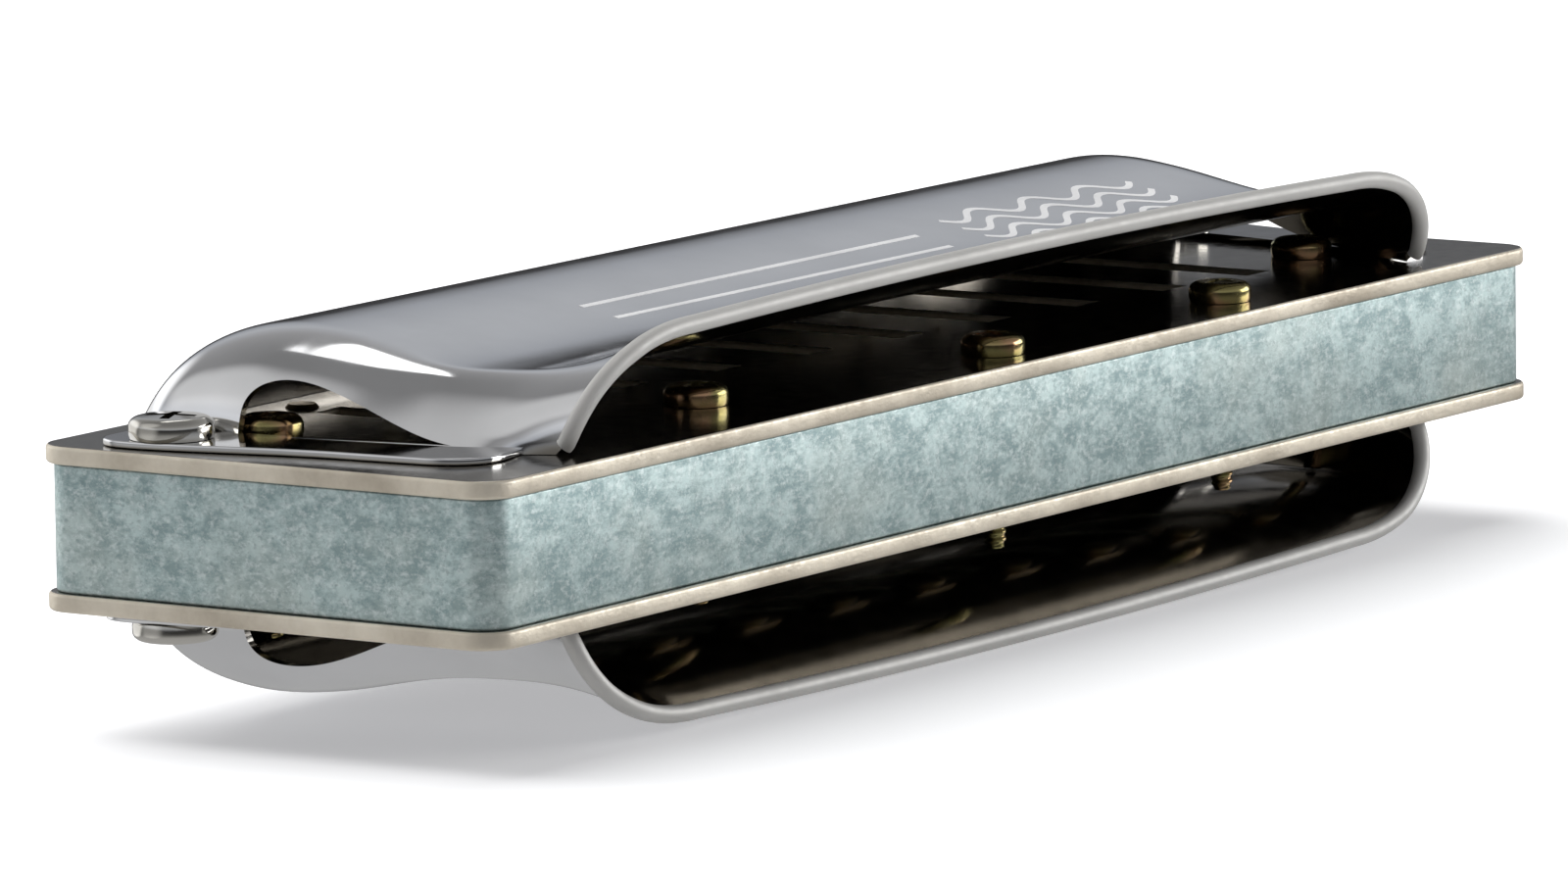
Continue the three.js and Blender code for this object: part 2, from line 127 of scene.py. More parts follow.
# ---------- mesh helpers ----------
def finish_mesh(name, mesh, material, sharp_angle=35):
    """Makes an object of a mesh in millimetres, smooth but for its real edges."""
    mesh.transform(Matrix.Scale(MM, 4))
    mesh.polygons.foreach_set("use_smooth", [True] * len(mesh.polygons))
    mesh.set_sharp_from_angle(angle=math.radians(sharp_angle))
    mesh.materials.clear()
    mesh.materials.append(material)
    mesh.update()
    piece = bpy.data.objects.new(name, mesh)
    scene.collection.objects.link(piece)
    return piece


def mesh_from(name, points, faces):
    mesh = bpy.data.meshes.new(name)
    mesh.from_pydata([tuple(p) for p in points], [], faces)
    mesh.validate()
    return mesh


def arc(x, y, radius, start_turn, turn, steps):
    angles = [2 * math.pi * (start_turn + turn * i / steps) for i in range(steps + 1)]
    return [(x + radius * math.cos(a), y + radius * math.sin(a)) for a in angles]


def circle(x, y, radius, sides=32):
    return arc(x, y, radius, 0, 1, sides)[:-1]


def rounded_corners(length, width, corner):
    """The four corner arcs, counter-clockwise from the front right one."""
    x = length / 2 - corner
    y = width / 2 - corner
    centres = [(x, -y, 0.75), (x, y, 0.0), (-x, y, 0.25), (-x, -y, 0.5)]
    return [point for cx, cy, turn in centres for point in arc(cx, cy, corner, turn, 0.25, 16)]


def bezier(p0, p1, p2, p3, steps):
    points = []
    for i in range(steps + 1):
        t = i / steps
        weights = [(1 - t) ** 3, 3 * t * (1 - t) ** 2, 3 * t * t * (1 - t), t ** 3]
        points.append(tuple(sum(w * p[k] for w, p in zip(weights, (p0, p1, p2, p3))) for k in (0, 1)))
    return points


def mesh_of(holder):
    """The evaluated mesh of an object: its curve turned to a mesh, its modifiers applied."""
    graph = bpy.context.evaluated_depsgraph_get()
    return bpy.data.meshes.new_from_object(holder.evaluated_get(graph))


def filled(name, outlines, depth, edge):
    """A flat filled shape of the given depth about z = 0, its edges rounded."""
    curve = bpy.data.curves.new(name, "CURVE")
    curve.dimensions = "2D"
    curve.fill_mode = "BOTH"
    curve.extrude = depth / 2 - edge
    curve.bevel_depth = edge
    curve.bevel_resolution = 3
    curve.offset = -edge
    for outline in outlines:
        spline = curve.splines.new("POLY")
        spline.points.add(len(outline) - 1)
        for point, (x, y) in zip(spline.points, outline):
            point.co = (x, y, 0, 1)
        spline.use_cyclic_u = True
    holder = bpy.data.objects.new(name, curve)
    scene.collection.objects.link(holder)
    mesh = mesh_of(holder)
    bpy.data.objects.remove(holder)
    bpy.data.curves.remove(curve)
    return mesh


def slab(name, outlines, bottom, top, edge, material):
    mesh = filled(name, outlines, top - bottom, edge)
    mesh.transform(Matrix.Translation((0, 0, (bottom + top) / 2)))
    return finish_mesh(name, mesh, material)


def lathe_mesh(name, profile, sides=48):
    """Turns a profile of (radius, z) about Z. It starts and ends on the axis."""
    points = [(0, 0, profile[0][1])]
    ring = profile[1:-1]
    for radius, z in ring:
        points += [(x, y, z) for x, y in circle(0, 0, radius, sides)]
    points.append((0, 0, profile[-1][1]))
    faces = []
    last = len(points) - 1
    for i in range(sides):
        j = (i + 1) % sides
        faces.append((0, 1 + j, 1 + i))
        for row in range(len(ring) - 1):
            base = 1 + row * sides
            faces.append((base + i, base + j, base + sides + j, base + sides + i))
        base = 1 + (len(ring) - 1) * sides
        faces.append((base + i, base + j, last))
    return mesh_from(name, points, faces)


def cut(mesh, cutters):
    """Takes each cutter mesh away from the mesh."""
    holder = bpy.data.objects.new("cut", mesh)
    scene.collection.objects.link(holder)
    tools = []
    for cutter in cutters:
        tool = bpy.data.objects.new("cutter", cutter)
        scene.collection.objects.link(tool)
        modifier = holder.modifiers.new("cut", "BOOLEAN")
        modifier.object = tool
        modifier.solver = "EXACT"
        tools.append(tool)
    result = mesh_of(holder)
    for old in [holder, *tools]:
        bpy.data.objects.remove(old)
    return result


def joined(name, meshes):
    work = bmesh.new()
    for mesh in meshes:
        work.from_mesh(mesh)
    result = bpy.data.meshes.new(name)
    work.to_mesh(result)
    work.free()
    return result


# ---------- node helpers ----------
def new_material(name):
    material = bpy.data.materials.new(name)
    material.use_nodes = True
    shader = material.node_tree.nodes["Principled BSDF"]
    return material, material.node_tree, shader


def place(tree):
    return tree.nodes.new("ShaderNodeTexCoord").outputs["Object"]


def noise(tree, vector, scale, detail=4.0, roughness=0.55, stretch=None):
    """A noise value. scale is in cycles for each metre."""
    if stretch:
        mapping = tree.nodes.new("ShaderNodeMapping")
        mapping.inputs["Scale"].default_value = stretch
        tree.links.new(vector, mapping.inputs["Vector"])
        vector = mapping.outputs["Vector"]
    node = tree.nodes.new("ShaderNodeTexNoise")
    node.inputs["Scale"].default_value = scale
    node.inputs["Detail"].default_value = detail
    node.inputs["Roughness"].default_value = roughness
    tree.links.new(vector, node.inputs["Vector"])
    return node.outputs["Fac"]


def remap(tree, value, from_low, from_high, to_low, to_high):
    node = tree.nodes.new("ShaderNodeMapRange")
    limits = {"From Min": from_low, "From Max": from_high, "To Min": to_low, "To Max": to_high}
    for name, number in limits.items():
        node.inputs[name].default_value = number
    tree.links.new(value, node.inputs["Value"])
    return node.outputs["Result"]


def blend_colors(tree, value, low, high):
    node = tree.nodes.new("ShaderNodeMix")
    node.data_type = "RGBA"
    tree.links.new(value, node.inputs["Factor"])
    for socket, color in ((node.inputs[6], low), (node.inputs[7], high)):
        if isinstance(color, tuple):
            socket.default_value = (*color, 1)
        else:
            tree.links.new(color, socket)
    return node.outputs[2]


def add_bump(tree, shader, height, distance):
    node = tree.nodes.new("ShaderNodeBump")
    node.inputs["Strength"].default_value = 1.0
    node.inputs["Distance"].default_value = distance
    tree.links.new(height, node.inputs["Height"])
    tree.links.new(node.outputs["Normal"], shader.inputs["Normal"])


def metal_material(name, light, dark, shine, grain, grain_scale=900, stretch=None, metallic=1.0):
    """A metal whose colour and roughness drift over its surface, with a fine grain."""
    material, tree, shader = new_material(name)
    shader.inputs["Metallic"].default_value = metallic
    where = place(tree)
    cloud = noise(tree, where, 160, detail=5)
    fine = noise(tree, where, grain_scale, detail=3, stretch=stretch)
    tint = remap(tree, cloud, 0.3, 0.7, 0, 1)
    tree.links.new(blend_colors(tree, tint, dark, light), shader.inputs["Base Color"])
    tree.links.new(remap(tree, fine, 0.3, 0.7, *shine), shader.inputs["Roughness"])
    add_bump(tree, shader, fine, grain)
    return material


# ---------- materials ----------
def make_chrome():
    return metal_material(
        "polished_chrome", (0.84, 0.842, 0.85), (0.77, 0.773, 0.78), (0.06, 0.12), 1.2e-6, 500)


def make_cover_inside():
    """The unpolished inner face of a cover, with a darker brown-black base than the outside: painted shade of
    the hollow.
    """
    return metal_material(
        "shaded_cover_inside", (0.34, 0.326, 0.305), (0.28, 0.266, 0.246), (0.09, 0.17), 6e-7, 700)


def make_lip_chrome():
    return metal_material(
        "satin_lip", (0.53, 0.521, 0.5), (0.465, 0.457, 0.438), (0.5, 0.6), 6e-7, 1500, metallic=0.4)


def make_etched():
    """Frosted marks on the polished sheet."""
    return metal_material(
        "etched_frost", (0.8, 0.8, 0.8), (0.66, 0.66, 0.665), (0.5, 0.7), 3e-6, 2600, metallic=0.3)


def make_screw_nickel():
    return metal_material("screw_nickel", (0.7, 0.68, 0.63), (0.6, 0.58, 0.53), (0.06, 0.16), 3e-6, 1500)


def make_plate_nickel():
    # Nickel faces of the reed plates with a dark base: painted shade and painted reflection of the dark
    # hollow under the covers.
    return metal_material(
        "reed_plate_shaded_nickel", (0.34, 0.315, 0.27), (0.29, 0.27, 0.23), (0.1, 0.2), 8e-7, 1200)


def make_plate_edge():
    """The sawn edge of a reed plate: satin, with fine pits."""
    return metal_material(
        "reed_plate_edge", (0.86, 0.79, 0.665), (0.52, 0.46, 0.37), (0.4, 0.62), 2.6e-5, 3400, metallic=0.75)


def make_zinc():
    """Yellow chromate over zinc: gold that turns to green and rose."""
    material = metal_material("yellow_zinc", (0.5, 0.41, 0.18), (0.24, 0.24, 0.09), (0.12, 0.3), 6e-6, 1400)
    tree = material.node_tree
    shader = tree.nodes["Principled BSDF"]
    gold = shader.inputs["Base Color"].links[0].from_socket
    patches = remap(tree, noise(tree, place(tree), 420, detail=2), 0.48, 0.62, 0, 0.6)
    tree.links.new(blend_colors(tree, patches, gold, (0.7, 0.36, 0.24)), shader.inputs["Base Color"])
    return material


def make_reed_bronze():
    # Bronze reeds with a darkened base so the slots read black: painted shade of the openings.
    return metal_material(
        "reed_bronze", (0.3, 0.22, 0.12), (0.22, 0.157, 0.08), (0.14, 0.24), 1.5e-6, 700, stretch=(6, 0.6, 1))


def make_rivet_brass():
    return metal_material("rivet_brass", (0.26, 0.2, 0.11), (0.18, 0.14, 0.07), (0.3, 0.5), 4e-6, 1500)


def make_comb_material():
    """Blue-grey resin with a fine mottle of pale flecks, dark specks and faint warm stains."""
    material, tree, shader = new_material("comb_resin")
    squat = (1, 1, 1.5)
    where = place(tree)
    cloud = remap(tree, noise(tree, where, 520, detail=9, roughness=0.78, stretch=squat), 0.42, 0.58, 0, 1)
    base = blend_colors(tree, cloud, (0.27, 0.365, 0.37), (0.52, 0.635, 0.625))
    stain = remap(tree, noise(tree, where, 110, detail=5, roughness=0.65), 0.5, 0.72, 0, 0.5)
    stained = blend_colors(tree, stain, base, (0.5, 0.55, 0.51))
    fleck_noise = noise(tree, where, 2100, detail=5, roughness=0.75, stretch=squat)
    fleck = remap(tree, fleck_noise, 0.5, 0.64, 0, 0.6)
    pale = blend_colors(tree, fleck, stained, (0.7, 0.77, 0.76))
    speck = remap(tree, noise(tree, where, 2900, detail=3, roughness=0.7), 0.54, 0.68, 0, 0.55)
    color = blend_colors(tree, speck, pale, (0.22, 0.3, 0.305))
    shader.inputs["Metallic"].default_value = 0.65
    tree.links.new(color, shader.inputs["Base Color"])
    tree.links.new(remap(tree, fleck_noise, 0.3, 0.7, 0.5, 0.4), shader.inputs["Roughness"])
    add_bump(tree, shader, fleck_noise, 1.2e-5)
    return material


def make_floor_material():
    material, tree, shader = new_material("pale_floor")
    shader.inputs["Specular IOR Level"].default_value = 0.1
    shader.inputs["Emission Color"].default_value = (0.97, 0.97, 1, 1)
    shader.inputs["Emission Strength"].default_value = 0.24
    soft = noise(tree, place(tree), 30, detail=3)
    color = blend_colors(tree, soft, (0.9, 0.9, 0.905), (0.93, 0.93, 0.93))
    tree.links.new(color, shader.inputs["Base Color"])
    tree.links.new(remap(tree, soft, 0, 1, 0.8, 0.95), shader.inputs["Roughness"])
    return material


chrome = make_chrome()
shaded_cover_inside = make_cover_inside()
lip_chrome = make_lip_chrome()
etched = make_etched()
screw_nickel = make_screw_nickel()
shaded_plate_nickel = make_plate_nickel()
plate_edge = make_plate_edge()
zinc = make_zinc()
reed_bronze = make_reed_bronze()
rivet_brass = make_rivet_brass()
comb_resin = make_comb_material()


# ---------- layout ----------
def hole_x(hole):
    return (hole - MIDDLE_OF_HOLES) * HOLE_PITCH


def slot_rear_end(hole):
    return SLOT_FRONT_END + LONGEST_SLOT - SLOT_STEP * (hole - 1)


def rivet_y(hole, is_blow):
    return SLOT_FRONT_END - RIVET_SETBACK if is_blow else slot_rear_end(hole) + RIVET_SETBACK


def attach(piece, slot, *nodes):
    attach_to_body(piece, BODY)
    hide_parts(*nodes)


# ---------- comb ----------
def make_comb():
    front = -COMB_WIDTH / 2
    outline = rounded_corners(COMB_LENGTH, COMB_WIDTH, COMB_CORNER)
    for hole in HOLES:
        left = hole_x(hole) - CHAMBER_WIDTH / 2
        right = hole_x(hole) + CHAMBER_WIDTH / 2
        back = slot_rear_end(hole) + CHAMBER_TAIL
        outline += [(left, front), (left, back), (right, back), (right, front)]
    comb = slab("comb_body", [outline], -COMB_HEIGHT / 2, COMB_HEIGHT / 2, COMB_EDGE, comb_resin)
    attach(comb, "comb", "comb")


# ---------- reed plates ----------
def slot_outline(hole):
    x = hole_x(hole)
    half = SLOT_WIDTH / 2
    rear = slot_rear_end(hole)
    return [(x - half, SLOT_FRONT_END), (x + half, SLOT_FRONT_END), (x + half, rear), (x - half, rear)]


def make_reed_plate(name, bottom, node):
    outlines = [rounded_corners(PLATE_LENGTH, PLATE_WIDTH, PLATE_CORNER)]
    outlines += [slot_outline(hole) for hole in HOLES]
    plate = slab(name, outlines, bottom, bottom + PLATE_THICKNESS, PLATE_EDGE, shaded_plate_nickel)
    plate.data.materials.append(plate_edge)
    # The edges take the pale satin edge material; the flat faces keep the dark base, which is painted shade.
    for face in plate.data.polygons:
        if abs(face.normal.z) < 0.9:
            face.material_index = 1
    attach(plate, "reed_plate", node)


# ---------- rivets ----------
def make_rivet(hole, is_blow):
    head_top = -REED_STACK
    head_bottom = head_top - RIVET_HEAD_HEIGHT
    tail_bottom = PLATE_THICKNESS + SEAT
    tail_top = tail_bottom + RIVET_TAIL_HEIGHT
    edge_top = head_top - (RIVET_HEAD_HEIGHT - RIVET_HEAD_EDGE)
    edge = arc(RIVET_HEAD_RADIUS - RIVET_HEAD_EDGE, 0, RIVET_HEAD_EDGE, 0.25, -0.25, 4)
    profile = [(0, head_bottom)]
    profile += [(r, edge_top - h) for r, h in edge]
    profile += [(RIVET_HEAD_RADIUS, head_top), (RIVET_SHANK_RADIUS, head_top)]
    profile.append((RIVET_SHANK_RADIUS, tail_bottom))
    profile += [(RIVET_TAIL_RADIUS, tail_bottom), (RIVET_TAIL_RADIUS * 0.8, tail_top), (0, tail_top)]
    kind = "blow" if is_blow else "draw"
    mesh = lathe_mesh(f"{kind}_rivet_turned_{hole:02d}", profile, 20)
    plate_bottom = COMB_HEIGHT / 2 if is_blow else -PLATE_TOP
    mesh.transform(Matrix.Translation((hole_x(hole), rivet_y(hole, is_blow), plate_bottom)))
    rivet = finish_mesh(mesh.name, mesh, rivet_brass)
    attach(rivet, "rivet", f"{kind}_rivet_{hole:02d}")


# ---------- screws ----------
def pan_head(radius, height):
    """Profile of a pan head from its rim at z = 0 to the axis."""
    edge = height * 0.5
    rim = arc(radius - edge, height - edge, edge, 0.0, 0.25, 8)
    dome = height - edge
    return [(radius * 0.97, 0), (radius, height * 0.18)] + [
        (r, dome + (z - dome) * 0.85) for r, z in rim] + [(0, height)]


def prism_faces(count):
    """The sides and the two caps of a prism whose two outlines have count points each."""
    sides = [(i, (i + 1) % count, (i + 1) % count + count, i + count) for i in range(count)]
    return sides + [tuple(reversed(range(count))), tuple(range(count, 2 * count))]


def cross_cutter(reach, width, bottom, top):
    h = width / 2
    outline = [(reach, -h), (reach, h), (h, h), (h, reach), (-h, reach), (-h, h),
               (-reach, h), (-reach, -h), (-h, -h), (-h, -reach), (h, -reach), (h, -h)]
    points = [(x, y, z) for z in (bottom, top) for x, y in outline]
    return mesh_from("cross", points, prism_faces(len(outline)))


def thread_mesh(radius, depth, pitch, bottom, top, sides=24):
    """A screw thread from bottom to top, tapered over its last turn and closed at both ends."""
    rows = int((top - bottom) / pitch * 8)
    points = []
    for row in range(rows + 1):
        z = bottom + (top - bottom) * row / rows
        taper = min(1.0, 0.7 + 0.3 * (z - bottom) / pitch)
        for i in range(sides):
            turn = i / sides
            phase = (z / pitch - turn) % 1.0
            crest = abs(2 * phase - 1)
            r = (radius - depth * (1 - crest)) * taper
            points.append((r * math.cos(2 * math.pi * turn), r * math.sin(2 * math.pi * turn), z))
    faces = [tuple(reversed(range(sides)))]
    for row in range(rows):
        for i in range(sides):
            j = (i + 1) % sides
            base = row * sides
            faces.append((base + i, base + j, base + sides + j, base + sides + i))
    faces.append(tuple(range(rows * sides, (rows + 1) * sides)))
    return mesh_from("thread", points, faces)


def screw_head_mesh(size):
    profile = [(0, -HEAD_OVERLAP), (size["head"] * 0.9, -HEAD_OVERLAP)]
    profile += pan_head(size["head"], size["height"])
    head = lathe_mesh("head", profile)
    width = size["recess"] * CROSS_WIDTH_SHARE
    cross = cross_cutter(size["recess"], width, size["height"] - CROSS_DEPTH, size["height"] + 1)
    return cut(head, [cross])


def make_plate_screws():
    for index, (x, y) in enumerate(PLATE_SCREW_PLACES):
        head = screw_head_mesh(PLATE_SCREW)
        head.transform(Matrix.Rotation(0.5 * index, 4, "Z"))
        tip = -2 * PLATE_TOP - SEAT - PLATE_SCREW["tip"]
        thread = thread_mesh(PLATE_SCREW["shank"], THREAD_DEPTH, PLATE_SCREW["pitch"], tip, -HEAD_OVERLAP)
        mesh = joined(f"plate_screw_turned_{index + 1}", [head, thread])
        mesh.transform(Matrix.Translation((x, y, PLATE_TOP + SEAT)))
        screw = finish_mesh(mesh.name, mesh, zinc, 50)
        attach(screw, "plate_screw", f"plate_screw_{index + 1}")


def make_cover_screws():
    seat = COVER_FOOT + FLANGE_THICKNESS + SEAT
    for end, side in (("low", -1), ("high", 1)):
        head = screw_head_mesh(COVER_SCREW)
        head.transform(Matrix.Rotation(0.35 * side, 4, "Z"))
        tip = -2 * seat - 0.5
        shank = thread_mesh(COVER_SCREW["shank"], THREAD_DEPTH, COVER_SCREW["pitch"], tip, -HEAD_OVERLAP)
        mesh = joined(f"cover_screw_turned_{end}_end", [head, shank])
        mesh.transform(Matrix.Translation((side * COVER_SCREW_X, COVER_SCREW_Y, seat)))
        screw = finish_mesh(mesh.name, mesh, screw_nickel, 50)
        attach(screw, "cover_screw", f"cover_screw_{end}_end")


def make_cover_nuts():
    seat = COVER_FOOT + FLANGE_THICKNESS + SEAT
    for end, side in (("low", -1), ("high", 1)):
        profile = [(0, 0.0), (COVER_SCREW["head"] * 0.9, 0.0)]
        profile += pan_head(COVER_SCREW["head"], COVER_NUT_HEIGHT)
        mesh = lathe_mesh(f"cover_nut_turned_{end}_end", profile)
        mesh.transform(Matrix.Rotation(math.pi, 4, "X"))
        mesh.transform(Matrix.Translation((side * COVER_SCREW_X, COVER_SCREW_Y, -seat)))
        nut = finish_mesh(mesh.name, mesh, screw_nickel)
        attach(nut, "cover_screw", f"cover_nut_{end}_end")


# ---------- covers ----------
# Values of the end wall along Y: foot, shoulder, squareness and lean, as in the model's source.
END_STATIONS = [
    (COVER_FRONT, 44.0, 37.5, 2.2, 0.05),
    (-10.8, 45.1, 38.0, 2.4, 0.1),
    (-8.0, 45.2, 38.0, 2.4, 0.12),
    (-5.6, 45.2, 38.0, 2.4, 0.15),
    (-3.4, 45.1, 38.0, 2.4, 0.25),
    (0.0, 44.7, 38.0, 3.0, 0.5),
    (4.0, 44.1, 38.6, 4.0, 0.95),
    (8.0, 43.4, 37.5, 4.0, 0.9),
    (11.0, 42.4, 35.0, 3.0, 0.4),
    (COVER_REAR, 41.5, 32.0, 2.3, 0.0),
]


def clamp(value, low=0.0, high=1.0):
    return max(low, min(high, value))


def smoothstep(value, low, high):
    t = clamp((value - low) / (high - low))
    return t * t * (3 - 2 * t)


def end_values(y):
    """Foot, shoulder, squareness and lean at y, on a smooth curve through the stations."""
    index = 0
    while index < len(END_STATIONS) - 2 and y > END_STATIONS[index + 1][0]:
        index += 1
    a = END_STATIONS[index]
    b = END_STATIONS[index + 1]
    before = END_STATIONS[max(index - 1, 0)]
    after = END_STATIONS[min(index + 2, len(END_STATIONS) - 1)]
    span = b[0] - a[0]
    t = clamp((y - a[0]) / span)
    values = []
    for key in (1, 2, 3, 4):
        slope_a = (b[key] - before[key]) / (b[0] - before[0]) * span
        slope_b = (after[key] - a[key]) / (after[0] - a[0]) * span
        values.append((2 * t ** 3 - 3 * t ** 2 + 1) * a[key] + (t ** 3 - 2 * t ** 2 + t) * slope_a
                      + (3 * t ** 2 - 2 * t ** 3) * b[key] + (t ** 3 - t ** 2) * slope_b)
    return values


def cover_point(along, y, z):
    """A point of the outer surface. along is -1 and 1 at the feet, and the long top is below 0.5."""
    side = math.copysign(1, along)
    reach = abs(along)
    foot, shoulder, squareness, lean = end_values(y)
    lip_share = smoothstep(y, VALLEY_Y, COVER_REAR)
    if reach <= 0.5:
        x = shoulder * reach * 2
        return Vector((side * x, y, z - lip_share * LIP_ARCH * x * x))
    angle = (reach - 0.5) * math.pi
    power = 2 / squareness
    shoulder_height = z - lip_share * LIP_ARCH * shoulder ** 2
    drop = max(math.cos(angle), 0.0) ** power
    height = COVER_FOOT + (shoulder_height - COVER_FOOT) * drop
    upright = shoulder + lean * (shoulder_height - COVER_FOOT)
    x = upright + (foot - upright) * math.sin(angle) ** power - lean * (height - COVER_FOOT)
    setback = lip_share * LIP_FOOT_SETBACK * (1 - min(1.0, drop * 1.15) ** 0.65)
    return Vector((side * x, y - setback, height))


def cover_section(steps=30):
    """Points (y, z) across the middle, from the front foot over ridge and valley to the lip."""
    rise = RIDGE_Z - COVER_FOOT
    run = RIDGE_Y - COVER_FRONT
    front = bezier((COVER_FRONT, COVER_FOOT), (COVER_FRONT, COVER_FOOT + FRONT_ROUNDNESS * rise),
                   (RIDGE_Y - FRONT_ROUNDNESS * run, RIDGE_Z), (RIDGE_Y, RIDGE_Z), steps)
    dip = bezier((RIDGE_Y, RIDGE_Z), (RIDGE_Y + RIDGE_HANDLE, RIDGE_Z),
                 (VALLEY_Y - RIDGE_HANDLE, VALLEY_Z), (VALLEY_Y, VALLEY_Z), steps)
    rear = bezier((VALLEY_Y, VALLEY_Z), (VALLEY_Y + VALLEY_HANDLE, VALLEY_Z),
                  (COVER_REAR - LIP_HANDLE[0], LIP_HEIGHT - LIP_HANDLE[1]), (COVER_REAR, LIP_HEIGHT), steps)
    return front + dip[1:] + rear[1:]


def cover_stations(end_steps=44, top_steps=36):
    low_end = [-1 + 0.5 * i / end_steps for i in range(end_steps)]
    top = [-0.5 + i / top_steps for i in range(top_steps + 1)]
    return low_end + top + [-along for along in reversed(low_end)]


def sheet_mesh():
    """The pressed sheet: an outer grid, an inner grid one thickness below it, and the four edges."""
    stations = cover_stations()
    section = cover_section()
    outer = [[cover_point(along, y, z) for y, z in section] for along in stations]
    columns = len(outer) - 1
    rows = len(section) - 1
    inner = []
    for i, column in enumerate(outer):
        for j, point in enumerate(column):
            along_x = outer[min(i + 1, columns)][j] - outer[max(i - 1, 0)][j]
            along_y = column[min(j + 1, rows)] - column[max(j - 1, 0)]
            moved = point - along_x.cross(along_y).normalized() * COVER_SHEET
            moved.z = max(moved.z, COVER_FOOT)
            inner.append(moved)
    points = [point for column in outer for point in column] + inner
    layer = len(inner)

    def at(i, j, is_inner=False):
        return i * (rows + 1) + j + (layer if is_inner else 0)

    faces = []
    for i in range(columns):
        for j in range(rows):
            faces.append((at(i, j), at(i + 1, j), at(i + 1, j + 1), at(i, j + 1)))
            faces.append((at(i, j, True), at(i, j + 1, True), at(i + 1, j + 1, True), at(i + 1, j, True)))
        faces.append((at(i, 0), at(i, 0, True), at(i + 1, 0, True), at(i + 1, 0)))
        faces.append((at(i, rows), at(i + 1, rows), at(i + 1, rows, True), at(i, rows, True)))
    for j in range(rows):
        faces.append((at(0, j), at(0, j + 1), at(0, j + 1, True), at(0, j, True)))
        faces.append((at(columns, j), at(columns, j, True), at(columns, j + 1, True), at(columns, j + 1)))
    return mesh_from("sheet", points, faces)


def vent_cutter(side):
    """A prism along X in the outline of the wave-shaped side opening."""
    sill = COVER_FOOT + FLANGE_THICKNESS
    crest = (-0.8, 6.85)
    outline = bezier((VENT_REAR, sill), (3.2, 5), (1.4, 6.2), crest, 24)
    outline += bezier(crest, (-2.8, 7.5), (VENT_FRONT, 7.8), (VENT_FRONT, 5.6), 24)[1:]
    outline.append((VENT_FRONT, sill))
    points = [(side * x, y, z) for x in (VENT_CUT_NEAR, VENT_CUT_FAR) for y, z in outline]
    work = bmesh.new()
    mesh = mesh_from("vent", points, prism_faces(len(outline)))
    work.from_mesh(mesh)
    bmesh.ops.recalc_face_normals(work, faces=work.faces)
    work.to_mesh(mesh)
    work.free()
    return mesh


FLANGE_ROOT_STATIONS = (11.6, 10.5, 9.5, 8.5, 7.5, 6.5, 5.5, 4, 2, 0, -2, -3.4, -5, -7, -9, -10.6)
FLANGE_OVERLAP = 0.2
FLANGE_EDGE = 0.1


def flange_mesh(side):
    """The flat tab that lies on the reed plate and takes the cover screw."""
    outline = [(44, -11.2), (48.2, -11.2)]
    outline += bezier((48.2, -11.2), (49.4, -11.2), (50, -10.5), (50, -9.2), 12)[1:]
    outline += bezier((50, -9.2), (50, -6), (48.1, -1), (47.9, 3), 20)[1:]
    outline.append((47.5, 7.6))
    outline += bezier((47.5, 7.6), (47.2, 9.5), (46.2, 10.5), (44.4, 10.4), 12)[1:]
    for y in FLANGE_ROOT_STATIONS:
        foot = cover_point(1, y, RIDGE_Z)
        outline.append((foot.x - FLANGE_OVERLAP, foot.y))
    mesh = filled("flange", [outline], FLANGE_THICKNESS, FLANGE_EDGE)
    mesh.transform(Matrix.Translation((0, 0, COVER_FOOT + FLANGE_THICKNESS / 2)))
    if side < 0:
        mesh.transform(Matrix.Scale(-1, 4, (1, 0, 0)))
        mesh.flip_normals()
    return mesh


def lip_mesh():
    """The rolled bead along the rear lip."""
    reach_end = 0.985
    curve = bpy.data.curves.new("lip", "CURVE")
    curve.dimensions = "3D"
    curve.bevel_depth = LIP_BEAD_RADIUS
    curve.bevel_resolution = 6
    curve.use_fill_caps = True
    spline = curve.splines.new("POLY")
    points = []
    for along in cover_stations():
        if abs(along) <= reach_end:
            point = cover_point(along, COVER_REAR, LIP_HEIGHT)
            point.z = max(point.z - COVER_SHEET / 2, COVER_FOOT + LIP_BEAD_RADIUS)
            points.append(point)
    spline.points.add(len(points) - 1)
    for target, point in zip(spline.points, points):
        target.co = (*point, 1)
    holder = bpy.data.objects.new("lip", curve)
    scene.collection.objects.link(holder)
    mesh = mesh_of(holder)
    bpy.data.objects.remove(holder)
    return mesh


# A block in the hollow of the cover: inner faces look at it, outer faces away from it. Faces that look at it
# get the darker inner material, painted shade.
HOLLOW_END = 34
HOLLOW_FRONT = -4
HOLLOW_REAR = 6
HOLLOW_HEIGHT = 3


def paint_inside(shell):
    """Gives the faces that look into the hollow the darker inner material: painted shade of the hollow."""
    shell.data.materials.append(shaded_cover_inside)
    for face in shell.data.polygons:
        centre = face.center / MM
        block = Vector((clamp(centre.x, -HOLLOW_END, HOLLOW_END), clamp(centre.y, HOLLOW_FRONT, HOLLOW_REAR),
                        math.copysign(HOLLOW_HEIGHT, centre.z)))
        if face.normal.dot(centre - block) < 0:
            face.material_index = 1


def make_cover(name, node, turned):
    turn = Matrix.Rotation(math.pi, 4, "Y") if turned else Matrix.Identity(4)
    sheet = cut(sheet_mesh(), [vent_cutter(1), vent_cutter(-1)])
    shell_mesh = joined(name, [sheet, flange_mesh(1), flange_mesh(-1)])
    bead_mesh = lip_mesh()
    shell_mesh.transform(turn)
    bead_mesh.transform(turn)
    shell = finish_mesh(name, shell_mesh, chrome)
    # The inner faces get the darker material, painted shade of the hollow.
    paint_inside(shell)
    bead = finish_mesh(name + "_lip", bead_mesh, lip_chrome)
    attach(shell, "cover", node)
    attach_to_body(bead, BODY)


